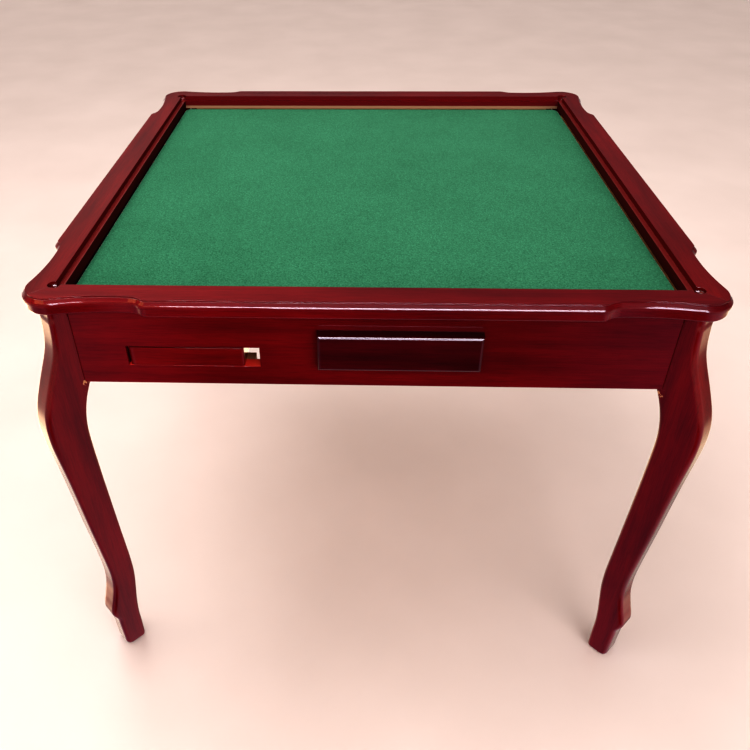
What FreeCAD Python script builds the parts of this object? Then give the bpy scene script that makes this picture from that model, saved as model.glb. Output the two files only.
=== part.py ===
import FreeCAD, Part
import math
import os
from FreeCAD import Vector

# Square game table: four S-curved plank legs set on the diagonals, four aprons, a rim of four
# mitred rails round a sunken felt-covered panel, and on every side one drawer and one swing-out
# cup holder. Millimetres, +Z up, origin on the floor under the middle of the table.

# ---- whole table ----
TABLE_HEIGHT = 750.0
TABLE_HALF = 465.0            # middle of the table to the straight part of an edge
SIDES = {"front": 0, "right": 90, "back": 180, "left": 270}
CORNERS = {"front_left": 0, "front_right": 90, "back_right": 180, "back_left": 270}
DIAGONAL = 225                # turn that brings +X over the front left corner

# ---- rim rails: plan outline ----
RAIL_THICK = 24.0
RAIL_WIDTH = 52.0
CUSP_FROM_CORNER = 173.5      # end of the straight part of the edge
CUSP_ROUND = 16.0             # convex turn there
CUSP_HOLLOW = 24.0            # small hollow that follows it
WAIST_FROM_CORNER = 122.0     # middle of the long hollow
WAIST_DEPTH = 10.5
EAR_SHORT = 1.8               # the rounded ear at the corner falls this short of the straight edge
EAR_RADIUS = 40.0
# section
QUIRK_INSET = 5.5             # flat top stops this far inside the nose
QUIRK_DEPTH = 1.8
BEAD_HEIGHT = 9.0
BEAD_SLOPE = 5.0              # the bead's upper side slopes this far down and out
BEAD_TOP_ROUND = 2.0
BEAD_NOSE_ROUND = 3.0
BAND_INSET = 2.0              # plain band under the bead, set back from the nose
UNDER_ROUND = 3.0
REBATE_WIDTH = 8.0            # rebate for a cover board
REBATE_DEPTH = 8.0
RELIEF_RADIUS = 9.0           # round relief in each corner of the rebate

# ---- aprons ----
APRON_INSET = 29.0            # straight edge of the rim to the apron's face
APRON_THICK = 18.0
APRON_HEIGHT = 126.0
APRON_END_EASE = 2.0          # eased edge beside the leg, leaves a thin shadow line

# ---- felt-covered panel and its cleats ----
FELT_BELOW_TOP = 27.0
FELT_THICK = 2.0
FELT_MARGIN = 2.0             # bare edge of the panel outside the felt
PANEL_THICK = 12.0
PANEL_GAP = 3.0               # between the panel and the line of the rails' inner faces
PANEL_CORNER = 18.0
CLEAT_WIDTH = 18.0
CLEAT_HEIGHT = 18.0
CLEAT_END_GAP = 10.0          # between a cleat and the corner block

# ---- legs: plank profile in the diagonal plane ----
# The first number of each pair is the distance beyond the corner where two apron faces would
# meet. The second is the height, counted as each list says, and for the toe from the floor.
LEG_THICK = 39.0
LEG_EDGE_ROUND = 4.0
KNEE_BELOW_RIM = [(0.5, 0.0), (2.8, 36.0), (8.0, 70.0), (19.0, 97.0), (32.0, 128.0), (42.0, 156.0),
                  (46.5, 185.0), (46.0, 215.0), (41.5, 259.0)]
SHIN_OFFSETS = (35.5, 30.5, 25.0)               # evenly spaced between knee and ankle
FOOT_ABOVE_FLOOR = [(19.5, 215.0), (18.5, 182.0), (22.0, 152.0), (30.0, 124.0), (35.0, 106.0)]
TOE_TIP = (36.0, 97.0)
TOE_UNDER = (31.5, 87.5)
TOE_HOLLOW = (28.3, 82.5)
PAD_TOP = (27.5, 76.0)
PAD_FOOT = 25.0               # the pad narrows to this at the floor
PAD_ROUND = 7.0
INNER_BELOW_APRON = [(-44.5, -22.0), (-30.0, 5.0), (-16.5, 38.0), (-10.0, 70.0), (-9.0, 110.0),
                     (-11.0, 180.0)]
INNER_SHIN_OFFSETS = (-14.5,)
INNER_ABOVE_FLOOR = [(-18.5, 240.0), (-20.0, 190.0), (-18.5, 160.0), (-14.5, 128.0), (-11.0, 96.0),
                     (-10.0, 50.0)]
POST_DEPTH = 51.6             # straight post between the aprons, inwards from that corner
POST_ABOVE_APRON = 50.0       # where it begins, above the lower edge of the aprons
NOTCH_CLEAR = 8.5             # between the panel's corner and the top of the leg
GLIDE_RADIUS = 10.0
GLIDE_THICK = 2.0

# ---- corner blocks, hanger bolts ----
BLOCK_THICK = 25.0
BLOCK_HEIGHT = 100.0
BOLT_RADIUS = 4.0
BOLT_HOLE_CLEAR = 0.25
BOLT_IN_LEG = 40.0
BOLT_TAIL = 14.0              # thread that stands out of the block
BOLT_FROM_END = 28.0          # from the ends of the block
WASHER_RADIUS = 11.0
WASHER_THICK = 2.0
NUT_ACROSS_FLATS = 13.0
NUT_THICK = 6.5
FIT_CLEAR = 0.05              # running and dowel fits, on the radius

# ---- dowels and screws ----
DOWEL_RADIUS = 4.0
DOWEL_END_CLEAR = 1.0
MITRE_DOWEL_LENGTH = 36.0
MITRE_DOWEL_INWARD = (16.0, 40.0)      # from the inner corner of the mitre
MITRE_DOWEL_BELOW_TOP = 15.0
RAIL_DOWEL_LENGTH = 34.0
RAIL_DOWEL_IN_RAIL = 13.0
RAIL_DOWEL_FROM_END = 50.0    # outer dowels, from the ends of the apron
RAIL_DOWEL_FROM_MIDDLE = 110.0
SCREW_HEAD_RADIUS = 4.0
SCREW_HEAD_THICK = 2.5
SCREW_SHANK_RADIUS = 2.0
SCREW_IN_APRON = 10.0
SCREW_FROM_END = 55.0

# ---- drawers, seen from the front ----
FACE_LEFT = -73.0             # from the middle of the side
FACE_WIDTH = 223.0
FACE_HEIGHT = 57.0
FACE_BELOW_RIM = 34.0
FACE_THICK = 16.0
FACE_ROUND = 5.0
FACE_LAP = 9.0                # face laps over the apron round the opening
DRAWER_CLEAR = 1.0            # between drawer box and opening
DRAWER_REST_CLEAR = 0.3       # between drawer box and runner
DRAWER_LENGTH = 228.0         # box, from the back of the face
SIDE_THICK = 10.0
BACK_THICK = 10.0
BOTTOM_THICK = 4.0
BOTTOM_RISE = 4.0             # bottom panel above the lower edge of the sides
GROOVE_DEPTH = 5.0
GROOVE_CLEAR = 0.1
GUIDE_THICK = 12.0
RUNNER_WIDTH = 9.0
RUNNER_THICK = 8.0
FRAME_THICK = 12.0
FRAME_GAP = 12.0              # between a drawer's back and the inner frame
FRAME_DROP = 8.0              # inner frame goes this far below the runners

# ---- swing-out cup holders ----
SLOT_FROM_CORNER = 98.0       # from the corner where two apron faces would meet
SLOT_WIDTH = 185.0
SLOT_HEIGHT = 31.5
SLOT_BELOW_RIM = 64.0
HOLDER_REST_CLEAR = 0.3
HOLDER_HEAD_CLEAR = 1.7
HOLDER_END_CLEAR = 1.0        # rounded pivot corner to the end of the slot
HOLDER_GAP = 22.0             # finger gap at the free end
HOLDER_BACK = 95.0            # pivot to the back edge
HOLDER_NOSE_ROUND = 4.0
HOLDER_TAIL_ROUND = 20.0
CUP_RADIUS = 35.0
CUP_DEPTH = 20.0
CUP_ALONG = 99.0              # pivot to cup, along the front of the board
CUP_ACROSS = 44.0
CUP_LIP_ROUND = 1.5
PIN_RADIUS = 3.0
PIN_ABOVE_SLOT = 14.0
PIN_FROM_BOTTOM = 1.0
BATTEN_WIDTH = 16.0
BATTEN_HEIGHT = 16.0
BATTEN_SHORT = 10.0           # batten stops short of the slot's free end

# ---- places worked out from the sizes above ----
rail_bottom = TABLE_HEIGHT - RAIL_THICK
apron_bottom = rail_bottom - APRON_HEIGHT
apron_face = TABLE_HALF - APRON_INSET
apron_inner = apron_face - APRON_THICK
apron_middle = apron_face - APRON_THICK / 2.0
apron_corner = apron_face * math.sqrt(2.0)
opening_half = TABLE_HALF - RAIL_WIDTH
rebate_half = opening_half + REBATE_WIDTH
felt_top = TABLE_HEIGHT - FELT_BELOW_TOP
panel_top = felt_top - FELT_THICK
panel_bottom = panel_top - PANEL_THICK
panel_half = opening_half - PANEL_GAP
leg_half = LEG_THICK / 2.0
apron_end = apron_face - leg_half * math.sqrt(2.0)
post_inner = apron_corner - POST_DEPTH
block_inner = post_inner - BLOCK_THICK
block_half = apron_inner * math.sqrt(2.0) - post_inner
block_end = (block_inner - block_half - BLOCK_THICK) / math.sqrt(2.0)
block_bottom = panel_bottom - BLOCK_HEIGHT
cleat_half = block_end - CLEAT_END_GAP
screw_places = (SCREW_FROM_END - cleat_half, 0.0, cleat_half - SCREW_FROM_END)
slot_top = rail_bottom - SLOT_BELOW_RIM
slot_bottom = slot_top - SLOT_HEIGHT
slot_left = SLOT_FROM_CORNER - apron_face
slot_right = slot_left + SLOT_WIDTH


def box(x0, x1, y0, y1, z0, z1):
    return Part.makeBox(x1 - x0, y1 - y0, z1 - z0, Vector(x0, y0, z0))


def rod(radius, start, along, length):
    return Part.makeCylinder(radius, length, start, along)


def turned(shape, degrees):
    copy = shape.copy()
    copy.rotate(Vector(0, 0, 0), Vector(0, 0, 1), degrees)
    return copy


def write(name, shape):
    shape.exportStep("parts/" + name + ".step")


def write_turned(prefix, shape, turns):
    for place, degrees in turns.items():
        write(prefix + "_" + place, turned(shape, degrees))


def group_of_turned(shapes):
    copies = [turned(shape, degrees) for degrees in SIDES.values() for shape in shapes]
    return Part.makeCompound(copies)


def edges_where(shape, fits):
    return [edge for edge in shape.Edges if fits(edge.BoundBox)]


def edges_at_height(shape, height):
    return edges_where(shape, lambda bounds: max(height - bounds.ZMin, bounds.ZMax - height) < 0.01)


def prism(plan, bottom, height):
    corners = [Vector(x, y, bottom) for x, y in plan]
    return Part.Face(Part.makePolygon(corners + corners[:1])).extrude(Vector(0, 0, height))


# ---- rim rails ----
def meeting_point(centre_a, radius_a, centre_b, radius_b):
    """Where two circles meet, on the side of the table's corner."""
    ax, ay = centre_a
    bx, by = centre_b
    apart = math.hypot(bx - ax, by - ay)
    along = (radius_a ** 2 - radius_b ** 2 + apart ** 2) / (2.0 * apart)
    across = math.sqrt(radius_a ** 2 - along ** 2)
    ux = (bx - ax) / apart
    uy = (by - ay) / apart
    first = (ax + along * ux + across * uy, ay + along * uy - across * ux)
    second = (ax + along * ux - across * uy, ay + along * uy + across * ux)
    return max(first, second, key=lambda point: point[0])


def towards(start, end, distance):
    apart = math.hypot(end[0] - start[0], end[1] - start[1])
    share = distance / apart
    return (start[0] + (end[0] - start[0]) * share, start[1] + (end[1] - start[1]) * share)


def arc_middle(centre, radius, start, end):
    """The middle point of the shorter arc from start to end."""
    half = ((start[0] + end[0]) / 2.0, (start[1] + end[1]) / 2.0)
    return towards(centre, half, radius)


def cusp_and_waist(inset):
    """Arcs from the straight part to the ear, as (along, outward) points, and the ear's start."""
    ear_centre = TABLE_HALF - EAR_SHORT - EAR_RADIUS
    ear = EAR_RADIUS - inset
    waist_along = TABLE_HALF - WAIST_FROM_CORNER
    waist_out = TABLE_HALF - WAIST_DEPTH - inset
    sideways = ear_centre - waist_along
    outward = waist_out - ear_centre
    waist = (sideways ** 2 + outward ** 2 - ear ** 2) / (2.0 * (ear - outward))
    waist_centre = (waist_along, waist_out + waist)
    straight_end = TABLE_HALF - CUSP_FROM_CORNER
    cusp = CUSP_ROUND - inset
    hollow = CUSP_HOLLOW + inset
    cusp_centre = (straight_end, TABLE_HALF - CUSP_ROUND)
    hollow_centre = meeting_point(cusp_centre, cusp + hollow, waist_centre, waist - hollow)
    cusp_start = (straight_end, TABLE_HALF - inset)
    cusp_end = towards(cusp_centre, hollow_centre, cusp)
    hollow_end = towards(waist_centre, hollow_centre, waist)
    ear_start = towards((ear_centre, ear_centre), waist_centre, ear)
    arcs = [(cusp_start, arc_middle(cusp_centre, cusp, cusp_start, cusp_end), cusp_end),
            (cusp_end, arc_middle(hollow_centre, hollow, cusp_end, hollow_end), hollow_end),
            (hollow_end, arc_middle(waist_centre, waist, hollow_end, ear_start), ear_start)]
    ear_middle = ear_centre + ear * math.sqrt(0.5)
    return arcs, ear_start, (ear_middle, ear_middle)


def rim_outline(inset, height):
    arcs, ear_start, ear_middle = cusp_and_waist(inset)
    ear_end = (ear_start[1], ear_start[0])
    curves = [arc for arc in arcs] + [(ear_start, ear_middle, ear_end)]
    curves += [[(-along, out) for along, out in arc] for arc in arcs]
    edges = []
    for curve_points in curves:
        edges.append(Part.Arc(*[Vector(along, -out, height) for along, out in curve_points]).toShape())
    (along, out) = arcs[0][0]
    edges.append(Part.makeLine(Vector(-along, -out, height), Vector(along, -out, height)))
    outline = [turned(edge, degrees) for degrees in SIDES.values() for edge in edges]
    return Part.Face(Part.Wire(Part.__sortEdges__(outline)))


def rim_ring():
    bead_top = TABLE_HEIGHT - QUIRK_DEPTH
    band_top = bead_top - BEAD_HEIGHT
    bead = rim_outline(0.0, band_top).extrude(Vector(0, 0, BEAD_HEIGHT))
    bead = bead.makeChamfer(BEAD_SLOPE, edges_at_height(bead, bead_top))
    bead = bead.makeFillet(BEAD_NOSE_ROUND, edges_at_height(bead, bead_top - BEAD_SLOPE))
    bead = bead.makeFillet(BEAD_TOP_ROUND, edges_at_height(bead, bead_top))
    band = rim_outline(BAND_INSET, rail_bottom).extrude(Vector(0, 0, band_top - rail_bottom))
    band = band.makeFillet(UNDER_ROUND, edges_at_height(band, rail_bottom))
    cap = rim_outline(QUIRK_INSET, bead_top).extrude(Vector(0, 0, QUIRK_DEPTH))
    ring = cap.fuse([bead, band])
    above = TABLE_HEIGHT + 1
    ring = ring.cut(box(-opening_half, opening_half, -opening_half, opening_half, 0, above))
    rebate_floor = TABLE_HEIGHT - REBATE_DEPTH
    ring = ring.cut(box(-rebate_half, rebate_half, -rebate_half, rebate_half, rebate_floor, above))
    relief = rod(RELIEF_RADIUS, Vector(rebate_half, rebate_half, rebate_floor), Vector(0, 0, 1), RAIL_THICK)
    return ring.cut(group_of_turned([relief]))


def side_wedge():
    reach = TABLE_HALF + RAIL_WIDTH
    return prism(((0, 0), (-reach, -reach), (reach, -reach)), 0, TABLE_HEIGHT + 1)


def mitre_dowel(inward, radius, length):
    across = Vector(1, -1, 0).normalize()
    centre = Vector(-1, -1, 0).normalize() * (opening_half * math.sqrt(2.0) + inward)
    centre.z = TABLE_HEIGHT - MITRE_DOWEL_BELOW_TOP
    return rod(radius, centre - across * (length / 2.0), across, length)


def rail_dowel(x, radius, end_clear):
    bottom = rail_bottom + RAIL_DOWEL_IN_RAIL - RAIL_DOWEL_LENGTH
    start = Vector(x, -apron_middle, bottom - end_clear)
    return rod(radius, start, Vector(0, 0, 1), RAIL_DOWEL_LENGTH + 2.0 * end_clear)


def rail_dowel_places():
    outer = apron_end - RAIL_DOWEL_FROM_END
    return (-outer, -RAIL_DOWEL_FROM_MIDDLE, RAIL_DOWEL_FROM_MIDDLE, outer)


def make_rails():
    rail = rim_ring().common(side_wedge())
    hole = DOWEL_RADIUS + FIT_CLEAR
    for inward in MITRE_DOWEL_INWARD:
        bore = mitre_dowel(inward, hole, MITRE_DOWEL_LENGTH + 2.0 * DOWEL_END_CLEAR)
        rail = rail.cut([bore, turned(bore, 90)])
    for x in rail_dowel_places():
        rail = rail.cut(rail_dowel(x, hole, DOWEL_END_CLEAR))
    write_turned("rail", rail, SIDES)
    mitre = [mitre_dowel(inward, DOWEL_RADIUS, MITRE_DOWEL_LENGTH) for inward in MITRE_DOWEL_INWARD]
    write("mitre_dowels", group_of_turned(mitre))
    upright = [rail_dowel(x, DOWEL_RADIUS, 0.0) for x in rail_dowel_places()]
    write("rail_dowels", group_of_turned(upright))


# ---- swing-out cup holders ----
pivot_x = slot_left + HOLDER_END_CLEAR + APRON_THICK / 2.0
pivot_y = -apron_middle
holder_left = slot_left + HOLDER_END_CLEAR
holder_right = slot_right - HOLDER_GAP
holder_back = pivot_y + HOLDER_BACK
holder_bottom = slot_bottom + HOLDER_REST_CLEAR
holder_top = slot_top - HOLDER_HEAD_CLEAR


def pivot_rod(radius, bottom, top):
    return rod(radius, Vector(pivot_x, pivot_y, bottom), Vector(0, 0, 1), top - bottom)


def holder_board():
    board = box(holder_left, holder_right, -apron_face, holder_back, holder_bottom, holder_top)
    pivot_round = APRON_THICK / 2.0
    rounds = ((holder_left, -apron_face, pivot_round), (holder_right, -apron_face, HOLDER_NOSE_ROUND),
              (holder_right, holder_back, HOLDER_TAIL_ROUND))
    for x, y, radius in rounds:
        upright = edges_where(board, lambda bounds: bounds.ZLength > 1.0
                              and abs(bounds.Center.x - x) < 0.01 and abs(bounds.Center.y - y) < 0.01)
        board = board.makeFillet(radius, upright)
    cup_centre = Vector(pivot_x + CUP_ALONG, pivot_y + CUP_ACROSS, holder_top - CUP_DEPTH)
    board = board.cut(rod(CUP_RADIUS, cup_centre, Vector(0, 0, 1), CUP_DEPTH + 1))
    lip = edges_where(board, lambda bounds: bounds.ZMin > holder_top - 0.01
                      and abs(bounds.XLength - 2.0 * CUP_RADIUS) < 0.01)
    board = board.makeFillet(CUP_LIP_ROUND, lip)
    return board.cut(pivot_rod(PIN_RADIUS + FIT_CLEAR, holder_bottom - 1, holder_top + 1))


def make_holders():
    write_turned("holder_board", holder_board(), SIDES)
    pin = pivot_rod(PIN_RADIUS, apron_bottom + PIN_FROM_BOTTOM, slot_top + PIN_ABOVE_SLOT)
    write("holder_pins", group_of_turned([pin]))
    batten = box(slot_left, slot_right - BATTEN_SHORT, -apron_inner, -apron_inner + BATTEN_WIDTH,
                 slot_bottom - BATTEN_HEIGHT, slot_bottom)
    write("holder_battens", group_of_turned([batten]))


# ---- drawers ----
face_right = FACE_LEFT + FACE_WIDTH
face_top = rail_bottom - FACE_BELOW_RIM
face_bottom = face_top - FACE_HEIGHT
face_front = -apron_face - FACE_THICK
opening_left = FACE_LEFT + FACE_LAP
opening_right = face_right - FACE_LAP
opening_top = face_top - FACE_LAP
opening_bottom = face_bottom + FACE_LAP
drawer_left = opening_left + DRAWER_CLEAR
drawer_right = opening_right - DRAWER_CLEAR
drawer_bottom = opening_bottom + DRAWER_REST_CLEAR
drawer_top = opening_top - DRAWER_CLEAR
drawer_back = -apron_face + DRAWER_LENGTH
frame_reach = -drawer_back - FRAME_GAP
groove_bottom = drawer_bottom + BOTTOM_RISE
groove_top = groove_bottom + BOTTOM_THICK


def drawer_bottom_panel(clear):
    """Bottom panel, let into the face and the sides; with a clearance, the groove for it."""
    let_in = SIDE_THICK - GROOVE_DEPTH - clear
    return box(drawer_left + let_in, drawer_right - let_in, -apron_face - GROOVE_DEPTH - clear,
               drawer_back + clear, groove_bottom - clear, groove_top + clear)


def drawer_side(left):
    return box(left, left + SIDE_THICK, -apron_face - GROOVE_DEPTH, drawer_back, drawer_bottom, drawer_top)


def make_drawers():
    sides = [drawer_side(drawer_left), drawer_side(drawer_right - SIDE_THICK)]
    groove = drawer_bottom_panel(GROOVE_CLEAR)
    face = box(FACE_LEFT, face_right, face_front, -apron_face, face_bottom, face_top)
    front_edges = edges_where(face, lambda bounds: bounds.YMax < face_front + 0.01)
    face = face.makeFillet(FACE_ROUND, front_edges).cut(sides + [groove])
    write_turned("drawer_face", face, SIDES)
    write_turned("drawer_sides", Part.makeCompound([side.cut(groove) for side in sides]), SIDES)
    back = box(drawer_left + SIDE_THICK, drawer_right - SIDE_THICK, drawer_back - BACK_THICK, drawer_back,
               groove_top + GROOVE_CLEAR, drawer_top)
    write_turned("drawer_back", back, SIDES)
    write_turned("drawer_bottom", drawer_bottom_panel(0.0), SIDES)


def drawer_guide(web_left, runner_left):
    runner_bottom = opening_bottom - RUNNER_THICK
    web = box(web_left, web_left + GUIDE_THICK, -apron_inner, -frame_reach,
              runner_bottom, panel_bottom - CLEAT_HEIGHT)
    runner = box(runner_left, runner_left + RUNNER_WIDTH, -apron_inner, -frame_reach,
                 runner_bottom, opening_bottom)
    return web.fuse(runner).removeSplitter()


def make_drawer_guides():
    guides = [drawer_guide(opening_left - GUIDE_THICK, opening_left),
              drawer_guide(opening_right, opening_right - RUNNER_WIDTH)]
    write_turned("drawer_guides", Part.makeCompound(guides), SIDES)
    frame_side = box(-frame_reach, frame_reach - FRAME_THICK, -frame_reach, -frame_reach + FRAME_THICK,
                     opening_bottom - RUNNER_THICK - FRAME_DROP, panel_bottom)
    write_turned("inner_frame", frame_side, SIDES)


# ---- aprons ----
def make_aprons():
    inner_end = apron_end - APRON_THICK
    eased = APRON_END_EASE * math.sqrt(0.5)
    right_end = [(apron_end - APRON_END_EASE, -apron_face), (apron_end - eased, eased - apron_face),
                 (inner_end, -apron_inner)]
    plan = right_end + [(-x, y) for x, y in reversed(right_end)]
    apron = prism(plan, apron_bottom, APRON_HEIGHT)
    through = (-apron_face - 1, -apron_inner + 1)
    hole = DOWEL_RADIUS + FIT_CLEAR
    cuts = [box(slot_left, slot_right, *through, slot_bottom, slot_top),
            box(opening_left, opening_right, *through, opening_bottom, opening_top),
            pivot_rod(PIN_RADIUS + FIT_CLEAR, apron_bottom - 1, slot_top + PIN_ABOVE_SLOT + 1)]
    cuts += [rail_dowel(x, hole, DOWEL_END_CLEAR) for x in rail_dowel_places()]
    cuts += [cleat_screw(x, FIT_CLEAR) for x in screw_places]
    write_turned("apron", apron.cut(cuts), SIDES)


# ---- felt-covered panel and its cleats ----
def rounded_plate(half, corner, bottom, thick):
    plate = box(-half, half, -half, half, bottom, bottom + thick)
    return plate.makeFillet(corner, edges_where(plate, lambda bounds: bounds.ZLength > thick / 2.0))


def cleat_screw(x, clear):
    start = Vector(x, -apron_inner + CLEAT_WIDTH, panel_bottom - CLEAT_HEIGHT / 2.0)
    into = Vector(0, -1, 0)
    head = rod(SCREW_HEAD_RADIUS + clear, start, into, SCREW_HEAD_THICK)
    shank = rod(SCREW_SHANK_RADIUS + clear, start, into, CLEAT_WIDTH + SCREW_IN_APRON)
    return head.fuse(shank).removeSplitter()


def make_panel():
    write("playing_board", rounded_plate(panel_half, PANEL_CORNER, panel_bottom, PANEL_THICK))
    felt_half = panel_half - FELT_MARGIN
    write("felt_cover", rounded_plate(felt_half, PANEL_CORNER - FELT_MARGIN, panel_top, FELT_THICK))
    cleat = box(-cleat_half, cleat_half, -apron_inner, -apron_inner + CLEAT_WIDTH,
                panel_bottom - CLEAT_HEIGHT, panel_bottom)
    cleat = cleat.cut([cleat_screw(x, FIT_CLEAR) for x in screw_places])
    write_turned("panel_cleat", cleat, SIDES)
    write("cleat_screws", group_of_turned([cleat_screw(x, 0.0) for x in screw_places]))


# ---- legs, corner blocks and bolts: drawn over +X, then turned onto a corner ----
def bolt_rod(radius, height, start, end):
    return rod(radius, Vector(start, 0, height), Vector(1, 0, 0), end - start)


def profile_points(upper, upper_level, shin_offsets, lower):
    """Points from the rim down: upper ones below a level, lower ones above the floor."""
    points = [(apron_corner + offset, upper_level - below) for offset, below in upper]
    top = points[-1][1]
    bottom = lower[0][1]
    step = (bottom - top) / (len(shin_offsets) + 1)
    for count, offset in enumerate(shin_offsets, start=1):
        points.append((apron_corner + offset, top + step * count))
    return points + [(apron_corner + offset, height) for offset, height in lower]


def curve_through(points):
    spline = Part.BSplineCurve()
    spline.interpolate([Vector(x, 0, z) for x, z in points])
    return spline.toShape()


def leg_profile():
    outer = profile_points(KNEE_BELOW_RIM, rail_bottom, SHIN_OFFSETS, FOOT_ABOVE_FLOOR)
    inner = profile_points(INNER_BELOW_APRON, apron_bottom, INNER_SHIN_OFFSETS, INNER_ABOVE_FLOOR)
    tip, under, hollow, pad_top = [(apron_corner + offset, height)
                                   for offset, height in (TOE_TIP, TOE_UNDER, TOE_HOLLOW, PAD_TOP)]
    notch = opening_half * math.sqrt(2.0) + NOTCH_CLEAR
    post_start = (post_inner, apron_bottom + POST_ABOVE_APRON)
    pad = [pad_top, (apron_corner + PAD_FOOT, GLIDE_THICK), (inner[-1][0], GLIDE_THICK), inner[-1]]
    top = [outer[0], (notch, rail_bottom), (notch, panel_bottom), (post_inner, panel_bottom), post_start]
    edges = [curve_through(outer), curve_through([post_start] + inner)]
    for arc in ((outer[-1], tip, under), (under, hollow, pad_top)):
        edges.append(Part.Arc(*[Vector(x, 0, z) for x, z in arc]).toShape())
    for outline in (pad, top):
        points = [Vector(x, 0, z) for x, z in outline]
        edges += Part.makePolygon(points).Edges
    return Part.Face(Part.Wire(Part.__sortEdges__(edges)))


def bolt_heights():
    return (panel_bottom - BOLT_FROM_END, block_bottom + BOLT_FROM_END)


def make_legs():
    profile = leg_profile()
    profile.translate(Vector(0, -leg_half, 0))
    leg = profile.extrude(Vector(0, LEG_THICK, 0))
    leg = leg.makeFillet(PAD_ROUND, edges_where(leg, lambda bounds: bounds.ZMax < GLIDE_THICK + 0.01
                                                and bounds.XLength < 0.01))
    leg = leg.makeFillet(LEG_EDGE_ROUND, edges_where(leg, lambda bounds: bounds.YLength < 0.01
                                                     and bounds.ZMin < apron_bottom))
    for height in bolt_heights():
        leg = leg.cut(bolt_rod(BOLT_RADIUS + FIT_CLEAR, height, post_inner - 1,
                               post_inner + BOLT_IN_LEG + 1))
    write_turned("leg", turned(leg, DIAGONAL), CORNERS)
    glide_at = apron_corner + (INNER_ABOVE_FLOOR[-1][0] + PAD_FOOT) / 2.0
    glide = rod(GLIDE_RADIUS, Vector(glide_at, 0, 0), Vector(0, 0, 1), GLIDE_THICK)
    write("foot_glides", group_of_turned([turned(glide, DIAGONAL)]))


def hexagon_prism(across_flats, height, start, length):
    radius = across_flats / math.sqrt(3.0)
    angles = [math.radians(60.0 * step) for step in range(7)]
    points = [Vector(start, radius * math.cos(angle), height + radius * math.sin(angle)) for angle in angles]
    return Part.Face(Part.makePolygon(points)).extrude(Vector(length, 0, 0))


def make_corner_blocks():
    half_inner = block_half + BLOCK_THICK
    plan = ((post_inner, -block_half), (post_inner, block_half), (block_inner, half_inner),
            (block_inner, -half_inner))
    block = prism(plan, block_bottom, BLOCK_HEIGHT)
    washer_inner = block_inner - WASHER_THICK
    tail_end = block_inner - BOLT_TAIL
    bolts = []
    washers = []
    nuts = []
    for height in bolt_heights():
        loose_hole = bolt_rod(BOLT_RADIUS + BOLT_HOLE_CLEAR, height, tail_end, post_inner + 1)
        block = block.cut(loose_hole)
        bolts.append(bolt_rod(BOLT_RADIUS, height, tail_end, post_inner + BOLT_IN_LEG))
        washers.append(bolt_rod(WASHER_RADIUS, height, washer_inner, block_inner).cut(loose_hole))
        nut = hexagon_prism(NUT_ACROSS_FLATS, height, washer_inner - NUT_THICK, NUT_THICK)
        nuts.append(nut.cut(bolt_rod(BOLT_RADIUS + FIT_CLEAR, height, tail_end, block_inner)))
    write_turned("corner_block", turned(block, DIAGONAL), CORNERS)
    write("hanger_bolts", group_of_turned([turned(bolt, DIAGONAL) for bolt in bolts]))
    write("bolt_washers", group_of_turned([turned(washer, DIAGONAL) for washer in washers]))
    write("bolt_nuts", group_of_turned([turned(nut, DIAGONAL) for nut in nuts]))


os.makedirs("parts", exist_ok=True)
make_rails()
make_aprons()
make_holders()
make_drawers()
make_drawer_guides()
make_panel()
make_legs()
make_corner_blocks()
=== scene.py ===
import math

import bmesh
import bpy
from mathutils import Matrix, Vector
from mathutils.bvhtree import BVHTree


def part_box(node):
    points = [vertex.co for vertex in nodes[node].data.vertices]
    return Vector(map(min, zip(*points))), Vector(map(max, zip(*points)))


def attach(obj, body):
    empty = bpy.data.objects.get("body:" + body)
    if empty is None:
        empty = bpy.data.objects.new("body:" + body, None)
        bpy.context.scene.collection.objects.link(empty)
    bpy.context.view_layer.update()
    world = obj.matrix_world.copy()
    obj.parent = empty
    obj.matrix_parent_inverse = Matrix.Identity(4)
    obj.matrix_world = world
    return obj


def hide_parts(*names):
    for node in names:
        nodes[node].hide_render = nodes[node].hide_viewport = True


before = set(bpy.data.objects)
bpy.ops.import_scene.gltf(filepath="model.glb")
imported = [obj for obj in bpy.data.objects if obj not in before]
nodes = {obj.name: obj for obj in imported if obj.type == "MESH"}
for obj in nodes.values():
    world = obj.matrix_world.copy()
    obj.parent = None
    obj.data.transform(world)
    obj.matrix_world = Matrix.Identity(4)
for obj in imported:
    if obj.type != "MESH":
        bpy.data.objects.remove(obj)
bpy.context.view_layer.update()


# ---------------------------------------------------------------------------------------------
# The four legs are planks of red-stained rubberwood, sawn to an S and stood on the diagonals of
# the table. Their edges are eased by hand, then everything is sprayed with clear gloss lacquer.
# Pale spots on the inner edges, just under the aprons, are painted highlights.
MAHOGANY = (0.130, 0.0022, 0.0055, 1)
MAHOGANY_DARK = (0.090, 0.0010, 0.0045, 1)
MAHOGANY_LIGHT = (0.170, 0.0046, 0.0066, 1)
BLOTCH_DARK = (0.80, 0.78, 0.80, 1)
BLOTCH_LIGHT = (1.14, 1.12, 1.1, 1)
PORE_SHADE = (0.72, 0.66, 0.66, 1)
PAINTED_CREVICE_SHADE = (0.55, 0.45, 0.45, 1)
WHITE = (1, 1, 1, 1)
FIGURE_ACROSS = 48
FIGURE_ALONG = 3.4
PORES_ACROSS = 900
PORES_ALONG = 28
BLOTCH_SCALE = 5
PORE_STRENGTH = 0.8
PAINTED_SHADE_REACH = 0.0022
EASED_EDGE = 0.0009
PEEL_SCALE = 75
PEEL_STRENGTH = 0.10
PEEL_DEPTH = 0.0006
STAIN_ROUGHNESS = 0.40
STAIN_GLOSS = 0.05
LACQUER_ROUGHNESS = 0.06
LACQUER_IOR = 1.4


def new_material(name):
    material = bpy.data.materials.new(name)
    material.use_nodes = True
    shader = material.node_tree.nodes["Principled BSDF"]
    return material, material.node_tree.nodes, material.node_tree.links, shader


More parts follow.
